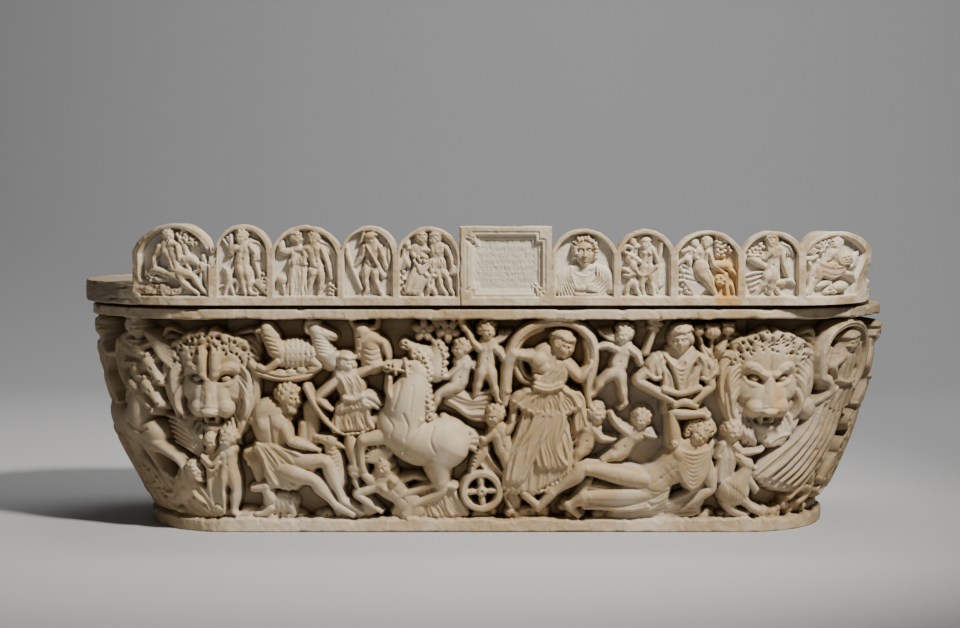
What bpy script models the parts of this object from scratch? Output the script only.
"""A marble tub sarcophagus with rounded ends and its lid, in metres. It stands on its underside, +X along it.

The trough is one hollow block whose front and ends are carved in high relief; the lid is one slab with an
upright front edge of arched panels. Both carvings are height fields: each limb is a tapered rod and each head
or body an ellipsoid, laid out on the plane of s, the way along the wall, and z, the height above the floor.
"""

import math

import bmesh
import bpy
import numpy as np

# ---- the trough ----------------------------------------------------------------------------------
LENGTH = 1.905                 # over the rim
DEPTH = 0.710                  # over the rim, front to back
BASE_LENGTH = 1.627            # over the foot
BASE_DEPTH = 0.600
TROUGH_TOP = 0.519             # top of the rim
BASE_BAND = 0.030              # height of the plain band at the foot
RIM_BAND = 0.024               # height of the plain band below the rim's top
RELIEF = 0.065                 # how far the bands stand proud of the ground of the relief
WALL = 0.045                   # stone behind the ground of the relief
CAVITY_FLOOR = 0.100
LIP_SETBACK = 0.026            # the raised seat of the lid, in from the rim's outer edge
GAP = 0.0003                   # between the seat and the lid
END_RADIUS = DEPTH / 2
STRAIGHT = LENGTH / 2 - END_RADIUS          # half the straight front
LAYOUT_RADIUS = 0.300          # radius on which s is measured round the ends
BELLY = 1.8                    # how strongly the wall bulges between foot and rim

# ---- the lid -------------------------------------------------------------------------------------
LID_UNDER = 0.527
LID_SLAB = 0.0506              # thickness of the slab
LID_LEFT, LID_RIGHT = -0.968, 0.922
LID_LEFT_ROUND, LID_RIGHT_ROUND = 0.340, 0.215      # half axes along X of its rounded ends
PARAPET = 0.075                # thickness of the upright edge
SILL = 0.022                   # from the underside to the panels' floors
SPRINGING = 0.652              # height at which the arches start
ARCH_TOP_LEFT, ARCH_TOP_RIGHT = 0.715, 0.6945
TABLET_TOP = 0.708
PANEL_DEPTH = 0.020
FRAME = 0.015                  # width of the plain frame round a panel
ARCH_EDGES = (-0.815, -0.618, -0.493, -0.332, -0.2045, -0.0625)       # left of the tablet
ARCH_EDGES_RIGHT = (0.148, 0.295, 0.427, 0.580, 0.720, 0.893)
LID_SEAT = LID_UNDER - GAP
SLAB_TOP = LID_UNDER + LID_SLAB
FLARE = 0.012                  # how far the last arch leans out

# ---- how finely the solids are cut ---------------------------------------------------------------
STEP = 0.0075                  # between points of the carved wall
ARCH_COLUMNS, LID_ROWS = 15, 17
TROUGH_SHARE, LID_SHARE = 0.085, 0.30       # share of the faces that are kept
STEEP = 4.0                    # how fast a form falls away beyond its outline
REACH = 0.014                  # how far beyond its outline a form is worked out

STONE = (0.62, 0.55, 0.45, 1)

BUILDS = {                     # radii as shares of the standing height
    "man": dict(chest=.085, waist=.066, hips=.072, thigh=.052, knee=.036, ankle=.024, foot=.026,
                shoulder=.036, elbow=.028, wrist=.020, hand=.024, neck=.030, head=.056),
    "woman": dict(chest=.078, waist=.058, hips=.082, thigh=.052, knee=.034, ankle=.022, foot=.023,
                  shoulder=.030, elbow=.024, wrist=.017, hand=.022, neck=.026, head=.055),
    "child": dict(chest=.105, waist=.105, hips=.105, thigh=.068, knee=.048, ankle=.034, foot=.036,
                  shoulder=.046, elbow=.038, wrist=.030, hand=.036, neck=.042, head=.102),
}


def between(a, b, t):
    return tuple(u + (v - u) * t for u, v in zip(a, b))


def curve_through(points, steps=4):
    """A smooth line through the points, by the Catmull-Rom rule."""
    p = [np.array(q, float) for q in points]
    p = [2 * p[0] - p[1]] + p + [2 * p[-1] - p[-2]]
    line = []
    for a, b, c, d in zip(p, p[1:], p[2:], p[3:]):
        for t in np.arange(steps) / steps:
            line.append(0.5 * (2 * b + (c - a) * t + (2 * a - 5 * b + 4 * c - d) * t * t
                               + (3 * b - a - 3 * c + d) * t ** 3))
    return [tuple(q) for q in line + [p[-2]]]


class Relief:
    """Heights h over the ground at the crossings of columns s and rows z."""

    def __init__(self, s, z):
        self.s, self.z = np.array(s), np.array(z)
        self.h = np.zeros((len(z), len(s)))

    def put(self, centre, reach, new, soft=0.006):
        """Lays a form's heights on the stone inside its window, with a smooth joint of the width soft."""
        j = np.abs(self.s - centre[0]) < reach
        i = np.abs(self.z - centre[1]) < reach
        if not (i.any() and j.any()):
            return
        where = np.ix_(i, j)
        old, h = self.h[where], new(self.s[None, j], self.z[i, None])
        self.h[where] = np.maximum(old, h) + np.maximum(soft - np.abs(old - h), 0) ** 2 / (4 * soft)

    def bone(self, a, b, ra, rb, soft=0.006):
        """A tapered rod: half round in section, its axis at the heights given."""
        a, b = np.array(a, float), np.array(b, float)
        way = (b - a)[:2]

        def heights(s, z):
            t = np.clip(((s - a[0]) * way[0] + (z - a[1]) * way[1]) / max(way @ way, 1e-9), 0, 1)
            d = np.hypot(s - a[0] - t * way[0], z - a[1] - t * way[1])
            r = ra + (rb - ra) * t
            rise = np.sqrt(np.clip(1 - (d / r) ** 2, 0, None)) * r - np.maximum(d - r, 0) * STEEP
            return a[2] + (b[2] - a[2]) * t + rise

        self.put(between(a, b, .5), np.hypot(*way) / 2 + max(ra, rb) + REACH, heights, soft)

    def ball(self, c, rs, rz=None, rh=None, turn=0.0, soft=0.006):
        """An ellipsoid with half sizes rs, rz and rh, turned by that many degrees."""
        rz = rz or rs
        rh = rh or min(rs, rz)
        ca, sa = math.cos(math.radians(turn)), math.sin(math.radians(turn))

        def heights(s, z):
            d = np.hypot(((s - c[0]) * ca + (z - c[1]) * sa) / rs, ((z - c[1]) * ca - (s - c[0]) * sa) / rz)
            rise = rh * np.sqrt(np.clip(1 - d * d, 0, None))
            return c[2] + rise - np.maximum(d - 1, 0) * min(rs, rz) * STEEP

        self.put(c, max(rs, rz) + REACH, heights, soft)

    def stroke(self, points, r0, r1=None, depth=0.04, soft=0.006):
        """A ridge along a smooth curve, its radius running from r0 to r1."""
        line = curve_through([tuple(p) + (depth,) if len(p) == 2 else p for p in points])
        r = np.linspace(r0, r1 or r0, len(line))
        for k in range(len(line) - 1):
            self.bone(line[k], line[k + 1], r[k], r[k + 1], soft)

    def fan(self, start_a, start_b, end_a, end_b, count, r0, r1, sag=0.0):
        """Folds from the line a..b at the start to the line a..b at the end, sagging to one side."""
        for k in range(count):
            t = k / (count - 1)
            a, b = between(start_a, start_b, t), between(end_a, end_b, t)
            m = between(a, b, .5)
            self.stroke([a, (m[0] + sag, m[1], m[2]), b], r0, r1, soft=0.003)


def person(r, build, size, depth, head, chest, hips, arms=(), legs=()):
    """A body from its joints: an arm is shoulder, elbow, wrist, fingers, and a leg hip, knee, ankle, toes.
    A joint with no height of its own lies at the figure's depth."""
    q = {name: share * size for name, share in BUILDS[build].items()}

    def at(p, more=0.0):
        return tuple(p) if len(p) == 3 else (p[0], p[1], depth + more)

    head, chest, hips = at(head), at(chest), at(hips)
    waist = between(chest, hips, .5)
    r.bone(chest, waist, q["chest"], q["waist"])
    r.bone(waist, hips, q["waist"], q["hips"])
    r.bone(chest, head, q["neck"], q["neck"])
    for leg in legs:
        joints = [at(p, .004) for p in leg]
        radii = (q["thigh"], q["knee"], q["ankle"], q["foot"])
        for a, b, ra, rb in zip(joints, joints[1:], radii, radii[1:]):
            r.bone(a, b, ra, rb)
    for arm in arms:
        joints = [at(p, .006) for p in arm]
        radii = (q["shoulder"], q["elbow"], q["wrist"], q["hand"])
        for a, b, ra, rb in zip(joints, joints[1:], radii, radii[1:]):
            r.bone(a, b, ra, rb)
    r.ball(head, q["head"], q["head"] * 1.15, q["head"] * .9)


def lion_mask(r, s, z):
    """A lion's head seen from the front: a mane of curved locks, brows, nose, muzzle and jaw."""
    r.ball((s, z - .012, -.005), .126, .142, .034)
    for side in (-1, 1):
        for k in range(7):                                     # locks of the mane, one below the other
            drop = .085 - k * .032
            reach = .118 - abs(k - 2.5) * .008
            r.stroke([(s + side * .068, z + drop + .010), (s + side * reach, z + drop - .006),
                      (s + side * (reach - .006), z + drop - .040)], .011, .007, depth=.020)
        for k in range(3):                                     # tufts over the forehead
            r.ball((s + side * (.020 + k * .030), z + .106 - k * .010, .034), .018, .024, .018)
        r.ball((s + side * .068, z + .082, .030), .020, .018, .016)
        r.bone((s + side * .014, z + .095, .042), (s + side * .017, z + .020, .052), .018, .014)
        r.ball((s + side * .046, z + .020, .048), .026, .014, .012, side * 25)
        r.ball((s + side * .052, z - .032, .034), .030, .036, .020)
        r.ball((s + side * .025, z - .074, .056), .025, .025, .018)
    r.bone((s, z + .02, .050), (s, z - .062, .062), .016, .024)
    r.ball((s, z - .124, .040), .040, .026, .022)


def ledge_animals(r):
    """Top left: a sheep lying on a rock, a ram's and a bull's head, and a raised arm."""
    r.stroke([(-.535, .388), (-.490, .368), (-.430, .365), (-.395, .385)], .009, .010, depth=.035)
    r.ball((-.440, .415, .032), .054, .032, .024)
    r.bone((-.478, .420, .040), (-.503, .466, .046), .018, .015)
    r.bone((-.502, .472, .048), (-.485, .458, .046), .013, .008)
    r.ball((-.527, .472, .040), .009, .012, .008)
    r.bone((-.480, .395, .040), (-.515, .382, .042), .009, .007)
    r.ball((-.392, .470, .038), .022, .020, .018)
    r.bone((-.380, .472, .040), (-.353, .458, .040), .015, .008)
    r.bone((-.388, .455, .030), (-.375, .420, .024), .018, .022)
    r.bone((-.285, .470, .036), (-.288, .435, .038), .020, .011)
    r.bone((-.278, .478, .032), (-.250, .488, .030), .007, .005)
    r.bone((-.270, .440, .026), (-.262, .400, .022), .024, .026)
    r.bone((-.262, .455, .038), (-.235, .440, .042), .008, .011)
    r.bone((-.235, .440, .042), (-.226, .405, .036), .011, .012)


def left_pair(r):
    """Two children embracing under the left lion."""
    person(r, "child", .19, .036, (-.641, .210), (-.641, .177), (-.640, .140),
           [[(-.628, .183), (-.597, .192)]])
    r.bone((-.641, .145, .034), (-.642, .055, .034), .019, .023)
    person(r, "child", .20, .046, (-.597, .218), (-.601, .182), (-.598, .148),
           [[(-.610, .187), (-.622, .175)]],
           [[(-.608, .138), (-.612, .100), (-.613, .048)], [(-.588, .138), (-.583, .100), (-.588, .040)]])


def shepherd(r):
    """A bearded man seated facing right, his dog before him, and a sheep at his feet."""
    r.ball((-.530, .178, .030), .032, .020, .018)
    r.bone((-.530, .170, .028), (-.525, .125, .028), .022, .012)
    person(r, "man", .42, .038, (-.456, .318, .048), (-.496, .245), (-.490, .185),
           [[(-.472, .264, .048), (-.450, .217, .058), (-.396, .197, .054), (-.376, .188, .052)]],
           [[(-.455, .165, .040), (-.372, .168, .056), (-.334, .070, .048), (-.288, .043, .046)],
            [(-.480, .150, .046), (-.398, .122, .062), (-.350, .058, .052), (-.312, .038, .048)]])
    r.ball((-.451, .284, .054), .013, .016, .010)
    r.fan((-.520, .200, .044), (-.500, .185, .050), (-.420, .172, .056), (-.440, .125, .058), 4, .010, .012)
    r.bone((-.425, .250, .036), (-.425, .200, .034), .016, .012)
    r.bone((-.392, .222, .040), (-.362, .214, .046), .008, .014)
    r.bone((-.350, .208, .048), (-.328, .198, .044), .008, .004)
    r.bone((-.360, .205, .038), (-.350, .125, .032), .019, .024)
    r.ball((-.478, .068, .036), .038, .021, .020)
    r.bone((-.500, .080, .042), (-.512, .104, .046), .015, .013)
    r.bone((-.512, .106, .048), (-.538, .102, .044), .011, .006)
    r.bone((-.505, .112, .046), (-.476, .106, .044), .006, .004)
    r.bone((-.530, .042, .040), (-.450, .042, .040), .009, .008)


def groom(r):
    """A running woman with blown hair, a staff in one hand, the other on the horse's bridle."""
    person(r, "woman", .33, .044, (-.322, .394, .048), (-.320, .350, .048), (-.302, .295, .048),
           [[(-.345, .352, .046), (-.388, .312, .052), (-.366, .290, .052)],
            [(-.298, .370, .046), (-.262, .386, .050), (-.234, .394, .052)]],
           [[(-.310, .205, .040), (-.306, .165, .046), (-.304, .118, .044)]])
    r.ball((-.352, .400, .040), .028, .022, .018)
    r.ball((-.288, .415, .030), .020, .013, .010)
    r.fan((-.320, .315, .050), (-.285, .320, .052), (-.335, .235, .046), (-.262, .240, .046), 5, .009, .013)
    r.bone((-.298, .255, .044), (-.312, .205, .042), .032, .022)
    r.bone((-.280, .318, .050), (-.245, .302, .046), .013, .012)
    r.bone((-.330, .295, .042), (-.347, .265, .038), .012, .010)
    r.stroke([(-.412, .338), (-.385, .285), (-.342, .238)], .008, .005, depth=.056, soft=.003)


def earth(r):
    """A woman reclining under the horse, her hair standing up, her cloth fanned out over the rocks."""
    person(r, "woman", .37, .042, (-.236, .156, .052), (-.226, .112, .046), (-.180, .064, .042),
           [[(-.252, .108, .048), (-.300, .088, .056), (-.252, .050, .054), (-.236, .040, .050)],
            [(-.205, .122, .040), (-.165, .130, .036), (-.135, .122, .032)]])
    for k in range(5):
        r.bone((-.244, .165, .050), (-.266 + k * .013, .190 + .005 * (k % 2), .050), .009, .005, soft=.003)
    r.fan((-.130, .105, .032), (-.095, .100, .032), (-.170, .042, .038), (-.050, .042, .034), 6, .008, .012)


def team(r):
    """Two horses rearing to the left, the nearer one whole, with reins, manes and tail."""
    r.bone((-.128, .408, .026), (-.190, .440, .028), .017, .010)
    r.bone((-.112, .425, .030), (-.115, .375, .026), .017, .013)
    r.ball((-.212, .258, .034), .040, .046, .034)
    r.ball((-.155, .208, .032), .085, .058, .036)
    r.ball((-.092, .212, .034), .050, .054, .036)
    r.bone((-.205, .275, .036), (-.158, .365, .040), .040, .024)
    r.bone((-.158, .383, .042), (-.228, .386, .044), .019, .012)
    r.bone((-.220, .228, .042), (-.284, .216, .056), .020, .014)
    r.bone((-.286, .212, .056), (-.287, .150, .050), .012, .009)
    r.bone((-.285, .148, .050), (-.270, .122, .048), .010, .014)
    r.bone((-.108, .180, .036), (-.112, .140, .042), .034, .022)
    r.bone((-.112, .140, .042), (-.106, .098, .044), .019, .013)
    r.bone((-.106, .098, .044), (-.170, .064, .048), .013, .009)
    r.bone((-.168, .064, .048), (-.188, .040, .048), .010, .013)
    r.stroke([(-.145, .405), (-.150, .360), (-.143, .310), (-.138, .272)], .011, .010, depth=.052)
    r.stroke([(-.045, .205), (-.020, .212), (-.008, .195), (-.022, .170), (-.040, .140)], .016, .010,
             depth=.036)
    r.stroke([(-.226, .368), (-.224, .330), (-.205, .298), (-.150, .266)], .005, .006, depth=.066, soft=.002)


def chariot(r):
    """The wheel with its spokes, the car's curved side, the pole, and cloth blown over the horses' backs."""
    hub, radius, rim = (-.012, .095, .048), .0415, .008
    r.stroke([(-.012, .188), (.002, .160), (.030, .128), (.062, .066)], .009, .010, depth=.034)
    r.bone((-.100, .268, .028), (-.005, .215, .028), .009, .008)
    turns = [k * math.pi / 8 for k in range(17)]
    ring = [(hub[0] + radius * math.cos(a), hub[1] + radius * math.sin(a), hub[2]) for a in turns]
    for a, b in zip(ring, ring[1:]):
        r.bone(a, b, rim, rim, soft=.001)
    for k in range(0, 16, 4):
        r.bone(hub, ring[k], .007, .006, soft=.002)
    r.fan((-.085, .300, .026), (-.080, .330, .026), (.005, .262, .028), (.000, .330, .028), 4, .009, .008)


def small_gods(r):
    """Seven winged children: two riding the team, one behind the chariot, and those round the lovers."""
    person(r, "child", .185, .036, (-.057, .428), (-.056, .385), (-.066, .348),
           [[(-.050, .392), (-.088, .362), (-.118, .364)]],
           [[(-.070, .342), (-.108, .322), (-.124, .285), (-.132, .268)]])
    person(r, "child", .19, .036, (.001, .470), (.001, .428), (-.002, .394),
           [[(-.016, .425), (-.033, .445), (-.050, .482)], [(.018, .430), (.034, .415)]],
           [[(-.010, .386), (-.022, .345)], [(.006, .386), (.014, .345), (.026, .308)]])
    person(r, "child", .20, .044, (.019, .270), (.030, .228), (.042, .188),
           [[(.022, .232), (-.006, .212)], [(.045, .232), (.056, .250)]],
           [[(.045, .178), (.050, .140), (.052, .095)]])
    person(r, "child", .19, .036, (.315, .460), (.311, .420), (.301, .388),
           [[(.296, .428), (.254, .432)], [(.326, .426), (.350, .408)]],
           [[(.296, .378), (.264, .352), (.245, .322)], [(.304, .376), (.308, .338), (.318, .298)]])
    person(r, "child", .19, .040, (.251, .276), (.236, .236), (.225, .202),
           [[(.242, .240), (.262, .216), (.290, .214)]],
           [[(.215, .195), (.200, .170), (.198, .148)]])
    person(r, "child", .19, .042, (.356, .264), (.333, .224), (.308, .188),
           [[(.318, .230), (.302, .250), (.288, .268)]],
           [[(.300, .182), (.272, .166)]])
    for s, z, turn in ((.045, .455, -30), (.062, .262, 20), (.266, .455, 60), (.202, .210, 10),
                       (.386, .225, 0)):
        r.ball((s, z, .028), .015, .034, .010, turn)


def moon_goddess(r):
    """The goddess stepping down to the sleeper, her veil blown into an arch over her head."""
    person(r, "woman", .42, .048, (.173, .434, .054), (.140, .380), (.140, .322),
           [[(.120, .408, .052), (.066, .416, .050)],
            [(.180, .392, .052), (.214, .360, .056), (.236, .388, .056)]])
    r.bone((.046, .372, .038), (.040, .300, .038), .013, .011)
    r.bone((.140, .300, .040), (.125, .180, .034), .040, .056)
    r.bone((.125, .180, .034), (.120, .115, .034), .060, .050)
    r.fan((.115, .335, .056), (.165, .335, .056), (.070, .305, .050), (.210, .285, .050), 6, .009, .013)
    r.fan((.105, .290, .054), (.168, .280, .052), (.050, .105, .052), (.185, .140, .046), 7, .008, .012,
          sag=.004)
    r.stroke([(.040, .345), (.045, .400), (.065, .450), (.110, .480), (.165, .485), (.215, .470)],
             .013, .013, depth=.038)
    r.stroke([(.215, .470), (.238, .445), (.240, .390), (.228, .340), (.232, .290)], .014, .010, depth=.042)
    r.bone((.095, .085, .046), (.125, .060, .050), .014, .019)


def sleep(r):
    """A seated winged figure with both hands at the sleeper's arm, poppies at the shoulder."""
    person(r, "woman", .47, .036, (.445, .448, .046), (.443, .385), (.443, .325),
           [[(.396, .398, .042), (.342, .355, .048), (.430, .305, .058)],
            [(.490, .398, .042), (.514, .340, .048), (.474, .304, .058)]])
    r.ball((.443, .372, .034), .054, .042, .026)
    r.bone((.398, .395, .040), (.355, .362, .046), .022, .021)
    r.bone((.488, .395, .040), (.508, .350, .046), .022, .020)
    r.fan((.420, .405, .052), (.470, .405, .052), (.415, .320, .050), (.470, .320, .050), 4, .008, .010)
    for s, z, size in ((.487, .468, .011), (.518, .466, .017), (.553, .473, .014)):
        r.ball((s, z, .038), size, size * .85, size * .8, soft=.002)
    for a, b in (((.520, .400), (.492, .430)), ((.520, .400), (.545, .452)), ((.516, .345), (.522, .400))):
        r.bone(a + (.026,), b + (.032,), .010, .008)
    r.bone((.365, .420, .030), (.382, .468, .036), .009, .009)
    r.ball((.388, .485, .036), .015, .009, .010)


def sleeper(r):
    """The young hunter asleep, one arm over his head, his cloak in curved folds over the chest."""
    person(r, "man", .44, .050, (.488, .228, .058), (.455, .165, .050), (.375, .112, .048),
           [[(.430, .205, .054), (.425, .280, .060), (.495, .278, .064), (.518, .256, .062)],
            [(.510, .150, .050), (.518, .100, .050), (.462, .060, .052), (.438, .038, .048)]],
           [[(.365, .120, .054), (.228, .150, .068), (.150, .090, .058), (.118, .052, .052)],
            [(.370, .085, .046), (.232, .080, .064), (.185, .062, .052), (.215, .036, .048)]])
    r.bone((.440, .185, .048), (.505, .150, .048), .032, .030)
    for k in range(5):                                         # the cloak's folds, hung from both shoulders
        r.stroke([(.432 + .002 * k, .200 - k * .006), (.465, .180 - k * .021), (.512, .178 - k * .015)],
                 .009, .009, depth=.068 - .001 * k, soft=.003)
    r.fan((.330, .080, .052), (.370, .060, .050), (.250, .048, .056), (.320, .032, .048), 3, .010, .012)
    r.stroke([(.300, .035), (.400, .045), (.495, .095)], .014, .012, depth=.048)


def right_group(r):
    """A child reaching out and a dog, below the right lion."""
    person(r, "child", .19, .040, (.565, .234), (.556, .196), (.555, .155),
           [[(.570, .200), (.585, .182), (.640, .188), (.668, .214)],
            [(.545, .205), (.530, .180), (.545, .172)]])
    r.bone((.555, .180, .034), (.545, .110, .030), .022, .024)
    r.bone((.665, .212, .042), (.714, .230, .040), .010, .019)
    r.ball((.570, .096, .044), .038, .036, .026)
    r.bone((.585, .120, .044), (.598, .150, .048), .020, .015)
    r.bone((.600, .158, .050), (.578, .174, .046), .014, .008)
    r.bone((.585, .075, .046), (.640, .048, .048), .013, .009)
    r.bone((.600, .135, .040), (.628, .100, .038), .011, .008)


def right_end(r):
    """The goddess leaving: veil arched over her, skirts sweeping back, and her team beyond, plainer."""
    person(r, "woman", .42, .048, (.868, .440, .056), (.862, .385), (.860, .332),
           [[(.838, .398, .054), (.800, .385, .054)], [(.800, .374, .052), (.845, .325, .054)]])
    r.stroke([(.812, .390), (.785, .400), (.788, .445), (.825, .478), (.880, .480), (.930, .455),
              (.955, .400), (.955, .330)], .014, .013, depth=.042)
    r.ball((.790, .285, .040), .026, .034, .018)
    r.bone((.850, .300, .042), (.830, .200, .036), .034, .050)
    r.fan((.835, .290, .052), (.900, .290, .048), (.672, .128, .050), (.860, .130, .044), 8, .010, .014)
    r.stroke([(.835, .170), (.870, .165), (.900, .150)], .012, .012, depth=.044)
    r.bone((.735, .078, .046), (.830, .105, .044), .012, .018)
    r.bone((.840, .100, .044), (.910, .100, .040), .020, .018)
    horse_behind(r, 1.13, 1)
    tree(r, 1.40, 1)


def left_end(r):
    """The departing car: a rider above, horses' heads, the near horse rearing, a sea god lying below."""
    for k in range(3):
        r.bone((-.855 + .003 * k, .415 - .033 * k, .038), (-.742 - .016 * k, .378 - .028 * k, .046),
               .020, .012)
    person(r, "child", .22, .040, (-.895, .470), (-.905, .430), (-.912, .390),
           [[(-.890, .440), (-.860, .425), (-.835, .440)]])
    for k in range(4):
        r.bone((-.855, .462 - k * .005, .034), (-.745 - k * .014, .462 - k * .020, .030), .010, .007)
    r.bone((-.975, .260, .030), (-.900, .275, .040), .050, .044)
    r.bone((-.900, .260, .044), (-.865, .330, .052), .040, .022)
    r.bone((-.868, .335, .056), (-.805, .280, .056), .018, .012)
    r.ball((-.870, .225, .050), .055, .034, .024)
    r.bone((-.900, .205, .050), (-.790, .180, .052), .018, .013)
    r.bone((-.785, .178, .052), (-.778, .120, .050), .012, .009)
    r.bone((-.905, .130, .044), (-.800, .115, .046), .013, .010)
    r.ball((-.980, .170, .034), .080, .045, .030)
    person(r, "man", .38, .040, (-.715, .145, .050), (-.770, .115), (-.820, .075))
    r.stroke([(-.700, .110), (-.670, .080), (-.635, .048)], .019, .014, depth=.040)
    r.bone((-.860, .070, .034), (-.660, .048, .034), .030, .016)
    horse_behind(r, -1.13, -1)
    tree(r, -1.40, -1)


def horse_behind(r, s, side):
    """A grazing horse in lower relief round the corner."""
    r.ball((s, .230, .016), .090, .055, .026)
    r.bone((s - side * .06, .260, .022), (s - side * .12, .350, .022), .036, .022)
    r.bone((s - side * .12, .350, .024), (s - side * .165, .300, .024), .020, .012)
    for k in (-.065, -.040, .050, .075):
        r.bone((s + k, .200, .016), (s + k * 1.1, .050, .016), .017, .011)
    r.stroke([(s + side * .090, .250), (s + side * .125, .200), (s + side * .120, .130)], .012, .008,
             depth=.018)


def tree(r, s, side):
    """A tree in low relief, with a round crown of leaves."""
    r.stroke([(s, .035), (s + side * .012, .170), (s - side * .006, .300)], .018, .012, depth=.010)
    for k in range(9):
        out = (k / 9) ** .5
        r.ball((s + .055 * math.cos(k * 2.4) * out, .380 + .065 * math.sin(k * 2.4) * out, .014),
               .034, .030, .014, k * 40)


def rocks(r):
    """Low boulders all along the foot."""
    for k in range(-37, 38):
        r.ball((k * .041, .032, .004), .033, .015 + .006 * math.sin(k * 2.3), .017)


def carve(r):
    """The frieze, from left to right."""
    rocks(r)
    for form in (left_end, ledge_animals, left_pair, shepherd, groom, earth, team, chariot, small_gods,
                 moon_goddess, sleep, sleeper, right_group, right_end):
        form(r)
    for s in (-.638, .646):
        lion_mask(r, s, .358)
    for s in (-.145, -.088):                                   # leaves over the horses
        for k in range(5):
            a = k * 2 * math.pi / 5
            r.ball((s + .014 * math.cos(a), .472 + .012 * math.sin(a), .030), .010, .008, .008, soft=.001)
        r.bone((s, .460, .020), (s + .010, .410, .015), .007, .007)


# ---- the lid's panels: X along the lid, z the height, heights sunk below the frames --------------
def standing(r, x, top, foot, lean=0.0, wide=0.010, spread=0.010):
    """A small standing figure in a panel, in five rods and a head."""
    tall = top - foot
    head, chest = (x + lean, top - .075 * tall, -.007), (x + lean * .7, top - .27 * tall, -.010)
    hips = (x, top - .50 * tall, -.010)
    r.ball(head, .072 * tall, .080 * tall, .007, soft=.001)
    r.bone(chest, hips, wide, wide * .8, soft=.002)
    for side in (-1, 1):
        r.bone(hips, (x + side * spread, foot + .01, -.012), wide * .62, wide * .4, soft=.001)
    return chest


def first_panels(r):
    """Left of the tablet: the mountain god, a cupid, an embracing pair, an armed god and a seated pair."""
    r.bone((-.738, .655, -.010), (-.715, .612, -.010), .015, .011)
    r.ball((-.730, .686, -.008), .011, .013, .008)
    r.bone((-.752, .664, -.010), (-.768, .610, -.012), .006, .005, soft=.002)
    r.bone((-.712, .606, -.010), (-.676, .600, -.008), .010, .008)
    r.bone((-.676, .600, -.008), (-.656, .558, -.010), .008, .005)
    r.bone((-.780, .595, -.012), (-.710, .588, -.012), .010, .007)
    r.bone((-.700, .655, -.014), (-.690, .630, -.014), .007, .006)
    r.ball((-.685, .684, -.012), .022, .013, .010, -35)
    chest = standing(r, -.562, .703, .550, -.002, .014, .012)
    r.bone(chest, (-.592, .668, -.012), .006, .005, soft=.001)
    r.ball((-.522, .668, -.014), .010, .020, .007, 30)
    r.bone((-.594, .598, -.012), (-.588, .556, -.013), .008, .005)
    r.ball((-.520, .576, -.012), .016, .014, .008)
    standing(r, -.432, .696, .550, -.006, .015, .006)
    r.bone((-.432, .600, -.010), (-.432, .558, -.012), .014, .016)
    r.bone((-.440, .656, -.008), (-.474, .650, -.010), .006, .005, soft=.001)
    standing(r, -.388, .700, .550, -.004, .015, .009)
    r.bone((-.370, .665, -.012), (-.352, .635, -.014), .010, .006)
    r.ball((-.470, .590, -.012), .011, .011, .008, soft=.001)
    standing(r, -.264, .702, .550, -.002, .015, .018)
    r.bone((-.320, .665, -.013), (-.286, .568, -.013), .005, .005, soft=.001)
    r.bone((-.284, .660, -.010), (-.298, .622, -.011), .006, .005, soft=.001)
    r.ball((-.228, .645, -.010), .009, .032, .008, soft=.001)
    standing(r, -.152, .700, .590, .004, .015, .004)
    r.bone((-.170, .605, -.008), (-.155, .562, -.012), .022, .026)
    standing(r, -.110, .702, .550, -.004, .016, .020)
    r.bone((-.182, .664, -.010), (-.180, .620, -.012), .009, .010)
    r.bone((-.126, .598, -.008), (-.124, .565, -.010), .009, .009)


def tablet(r):
    """The tablet between the arches: a stepped frame round a sunk, unlettered field."""
    left, right, low, high = -.025, .114, .560, .681
    across = np.minimum(r.s - left, right - r.s)[None]
    inside = np.minimum(across, np.minimum(r.z - low, high - r.z)[:, None])
    field = np.abs(r.s - (left + right) / 2) < .1
    sunk = -.013 * np.clip(inside / .006 + .5, 0, 1) - .004 * np.clip(inside / .006 + 3, 0, 1)
    r.h[:, field] = np.minimum(r.h, sunk)[:, field]


def last_panels(r):
    """Right of the tablet: a portrait bust, a goddess, a reaper, a winged season and a seated god."""
    r.bone((.185, .575, -.010), (.262, .575, -.010), .022, .022)
    r.ball((.222, .590, -.008), .040, .026, .010)
    r.bone((.222, .600, -.010), (.222, .640, -.008), .012, .013)
    r.ball((.2225, .655, -.006), .025, .031, .014)
    standing(r, .360, .684, .550, -.003, .014, .014)
    r.bone((.402, .668, -.013), (.386, .568, -.013), .005, .004, soft=.001)
    r.bone((.318, .640, -.012), (.345, .650, -.012), .008, .007)
    r.bone((.318, .600, -.013), (.342, .603, -.013), .006, .005)
    r.ball((.505, .668, -.008), .010, .011, .008)
    r.bone((.505, .650, -.010), (.492, .615, -.008), .011, .017)
    r.bone((.492, .612, -.010), (.522, .558, -.012), .013, .007)
    r.bone((.535, .670, -.012), (.540, .610, -.013), .016, .008)
    r.bone((.520, .622, -.010), (.552, .612, -.011), .010, .008)
    r.ball((.462, .585, -.013), .028, .020, .009, -40)
    standing(r, .652, .690, .550, -.001, .014, .020)
    r.bone((.610, .650, -.010), (.632, .632, -.011), .013, .007)
    r.bone((.675, .645, -.011), (.690, .590, -.012), .006, .005, soft=.001)
    r.ball((.684, .664, -.014), .013, .007, .007, -45)
    r.bone((.668, .575, -.012), (.692, .580, -.012), .010, .009)
    r.bone((.600, .588, -.013), (.622, .592, -.013), .012, .007)
    r.ball((.806, .676, -.008), .011, .012, .008)
    r.bone((.806, .655, -.010), (.812, .618, -.010), .014, .016)
    r.bone((.810, .615, -.010), (.765, .618, -.010), .015, .012)
    r.bone((.765, .612, -.010), (.742, .562, -.012), .009, .006)
    r.bone((.824, .650, -.011), (.842, .620, -.012), .007, .006)
    r.bone((.735, .655, -.013), (.770, .668, -.013), .012, .008)
    r.ball((.815, .568, -.012), .020, .011, .009)


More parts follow.
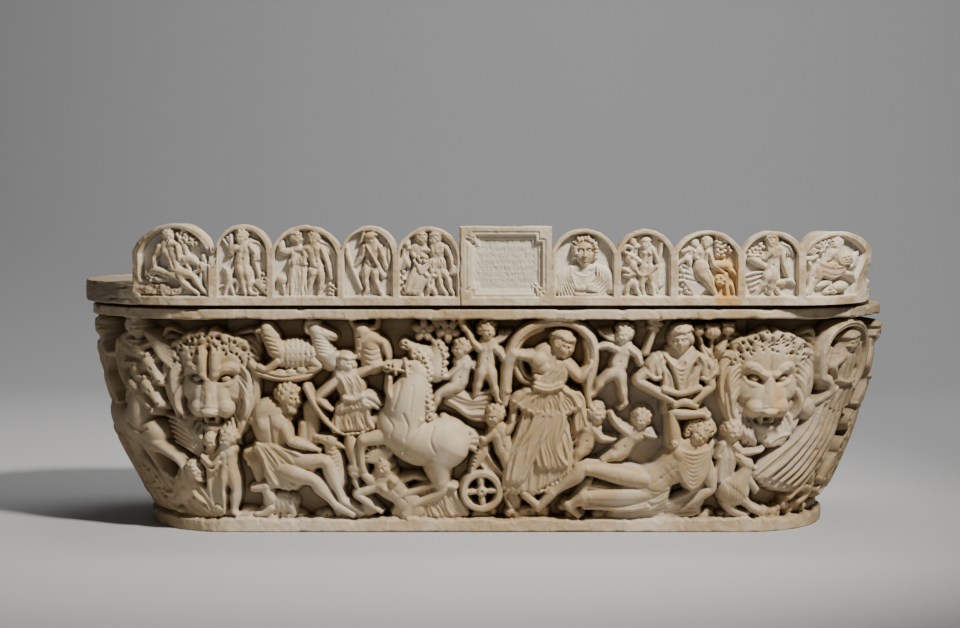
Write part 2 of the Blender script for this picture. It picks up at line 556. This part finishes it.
# ---- solids --------------------------------------------------------------------------------------
def smooth(x):
    x = np.clip(x, 0, 1)
    return x * x * (3 - 2 * x)


def wall_point(s, z, h):
    """X and Y of the trough's wall: a straight stretch with half ellipses, drawn in towards the foot."""
    inward = (1 - np.clip((z - BASE_BAND) / (TROUGH_TOP - 2 * RIM_BAND), 0, 1)) ** BELLY
    along = END_RADIUS - (LENGTH - BASE_LENGTH) / 2 * inward - RELIEF + h
    across = END_RADIUS - (DEPTH - BASE_DEPTH) / 2 * inward - RELIEF + h
    turn = np.clip((np.abs(s) - STRAIGHT) / LAYOUT_RADIUS, 0, math.pi)
    back = np.maximum(np.abs(s) - STRAIGHT - math.pi * LAYOUT_RADIUS, 0)
    x = np.sign(s) * (np.minimum(np.abs(s), STRAIGHT) - back + along * np.sin(turn))
    return x, -across * np.cos(turn)


def loft(name, rings):
    """One closed mesh from rings of the same number of points, closed by a fan at either end."""
    count = len(rings[0])
    points = np.concatenate(rings + [rings[0].mean(0)[None], rings[-1].mean(0)[None]])
    low, high = len(points) - 2, len(points) - 1
    j = np.arange(count)
    k = (j + 1) % count
    faces = [np.stack([i * count + j, i * count + k, (i + 1) * count + k, (i + 1) * count + j], 1).tolist()
             for i in range(len(rings) - 1)]
    last = (len(rings) - 1) * count
    faces.append(np.stack([np.full(count, low), k, j], 1).tolist())
    faces.append(np.stack([last + j, last + k, np.full(count, high)], 1).tolist())
    mesh = bpy.data.meshes.new(name)
    mesh.from_pydata(points.tolist(), [], sum(faces, []))
    work = bmesh.new()
    work.from_mesh(mesh)
    bmesh.ops.triangulate(work, faces=work.faces)
    work.to_mesh(mesh)
    work.free()
    return mesh


def add_object(name, mesh, share):
    """Puts the mesh in the scene in stone, with its faces thinned where the surface is nearly flat."""
    stone = bpy.data.materials.new(name + "_stone")
    stone.use_nodes = True
    shader = stone.node_tree.nodes["Principled BSDF"]
    shader.inputs["Base Color"].default_value = STONE
    shader.inputs["Roughness"].default_value = 0.7
    shader.inputs["Metallic"].default_value = 0.0
    mesh.materials.append(stone)
    obj = bpy.data.objects.new(name, mesh)
    bpy.context.collection.objects.link(obj)
    thin = obj.modifiers.new("thin", "DECIMATE")
    thin.ratio = share
    thin.show_render = thin.show_viewport = True
    return obj


def make_trough():
    half = STRAIGHT * 2 + math.pi * LAYOUT_RADIUS
    s = np.linspace(-half, half, int(2 * half / STEP), endpoint=False)
    carved = np.arange(BASE_BAND + .004, TROUGH_TOP - RIM_BAND - .003, STEP)
    relief = Relief(s, carved)
    carve(relief)
    top = TROUGH_TOP - RIM_BAND
    z = np.concatenate([[0, BASE_BAND - .003], carved, [top, TROUGH_TOP]])
    h = np.full((len(z), len(s)), RELIEF)
    h[2:-2] = relief.h
    rings = []

    def ring(height, depth):
        x, y = wall_point(s, height, depth)
        rings.append(np.stack([x, y, np.full(len(s), float(height))], 1))

    for height, depth in zip(z, h):
        ring(height, depth)
    lip = RELIEF - LIP_SETBACK
    for height, depth in ((TROUGH_TOP, lip), (LID_SEAT, lip - .004), (LID_SEAT, -WALL)):
        x, y = wall_point(s, TROUGH_TOP, depth)
        rings.append(np.stack([x, y, np.full(len(s), height)], 1))
    for height in np.linspace(TROUGH_TOP - .02, CAVITY_FLOOR, 8):
        ring(height, -WALL)
    return add_object("trough", loft("trough", rings), TROUGH_SHARE)


def crown(a, b):
    """Height of the arch between the edges a and b: the row drops a little from left to right."""
    along = ((a + b) / 2 - ARCH_EDGES[0]) / (ARCH_EDGES_RIGHT[-1] - ARCH_EDGES[0])
    return ARCH_TOP_LEFT + (ARCH_TOP_RIGHT - ARCH_TOP_LEFT) * along


def arches():
    """The edges and the crown of each arch, from left to right."""
    sides = (ARCH_EDGES, ARCH_EDGES_RIGHT)
    return [(a, b, crown(a, b)) for edges in sides for a, b in zip(edges, edges[1:])]


def arc(x, a, b, low, high):
    """Height of a circle's arc that rises from low at a and b to high between them."""
    half, rise = (b - a) / 2, high - low
    radius = (half ** 2 + rise ** 2) / (2 * rise)
    return high - radius + np.sqrt(radius ** 2 - np.clip(x - (a + b) / 2, -half, half) ** 2)


def parapet_columns():
    """X and height of the columns along the arched edge, close together where an arch springs."""
    turn = np.linspace(0, math.pi, ARCH_COLUMNS)
    x, top = [[ARCH_EDGES[0] - .001]], [[SLAB_TOP]]
    for a, b, high in arches():
        if a == ARCH_EDGES_RIGHT[0]:
            x.append(np.linspace(ARCH_EDGES[-1] + .0005, a - .0005, 2 * ARCH_COLUMNS))
            top.append(np.full(2 * ARCH_COLUMNS, TABLET_TOP))
        columns = (a + b) / 2 - (b - a) / 2 * np.cos(turn)
        columns = columns if a in (ARCH_EDGES[0], ARCH_EDGES_RIGHT[0]) else columns[1:]
        x.append(columns)
        top.append(arc(columns, a, b, SPRINGING, high))
    return np.concatenate(x + [[ARCH_EDGES_RIGHT[-1] + .001]]), np.concatenate(top + [[SLAB_TOP]])


def panels(x, z):
    """Heights on the face of the arched edge: frames at zero, the panels sunk with their figures."""
    r = Relief(x, z)
    r.h -= PANEL_DEPTH
    first_panels(r)
    last_panels(r)
    open_part = np.zeros_like(r.h)
    floor = smooth((r.z[:, None] - LID_UNDER - SILL) / .005 + .5)
    for a, b, high in arches():
        a, b = a + FRAME, b - FRAME
        inner = arc(r.s, a, b, SPRINGING, high - FRAME)[None]
        side = np.minimum(r.s - a, b - r.s)[None]
        one = smooth((inner - r.z[:, None]) / .005) * smooth(side / .004 + .5) * floor
        open_part = np.maximum(open_part, one)
    r.h *= open_part
    tablet(r)
    return r


def make_lid():
    left, right = LID_LEFT + LID_LEFT_ROUND, LID_RIGHT - LID_RIGHT_ROUND
    front, front_top = parapet_columns()
    first = math.acos((front[0] - left) / LID_LEFT_ROUND)
    last = math.acos((front[-1] - right) / LID_RIGHT_ROUND)
    a, b = np.linspace(-last, math.pi / 2, 20)[1:], np.linspace(math.pi / 2, 2 * math.pi - first, 30)[:-1]
    x = np.concatenate([front, right + LID_RIGHT_ROUND * np.cos(a), left + LID_LEFT_ROUND * np.cos(b)])
    straight = (front >= left) & (front <= right)
    rise = np.where(front < left, (front - left) / LID_LEFT_ROUND, (front - right) / LID_RIGHT_ROUND)
    y = np.where(straight, -1, -np.sqrt(np.clip(1 - rise ** 2, 0, 1)))
    y = END_RADIUS * np.concatenate([y, np.sin(a), np.sin(b)])
    top = np.concatenate([front_top, np.full(len(a) + len(b), SLAB_TOP)])
    half = np.where(x < left, LID_LEFT_ROUND, LID_RIGHT_ROUND)
    out = np.stack([(x - np.clip(x, left, right)) / half ** 2, y / END_RADIUS ** 2], 1)
    out /= np.linalg.norm(out, axis=1)[:, None]
    relief = panels(front, np.arange(LID_UNDER, ARCH_TOP_LEFT + .01, .004))
    rings = []

    def ring(z, depth):
        flare = FLARE * smooth((x - .78) / .12) * smooth((z - LID_UNDER - LID_SLAB) / .06) * (y < 0)
        plan = np.stack([x, y], 1) + out * (depth + flare)[:, None]
        rings.append(np.column_stack([plan, z]))

    for share in np.linspace(0, 1, LID_ROWS):
        z = LID_UNDER + share * (top - LID_UNDER)
        depth = np.zeros(len(x))
        depth[:len(front)] = [np.interp(z[j], relief.z, relief.h[:, j]) for j in range(len(front))]
        ring(z, depth)
    ring(top, np.full(len(x), -PARAPET))
    ring(np.full(len(x), SLAB_TOP), np.full(len(x), -PARAPET - .008))
    return add_object("lid", loft("lid", rings), LID_SHARE)


for old in list(bpy.data.objects):
    bpy.data.objects.remove(old)
make_trough()
make_lid()
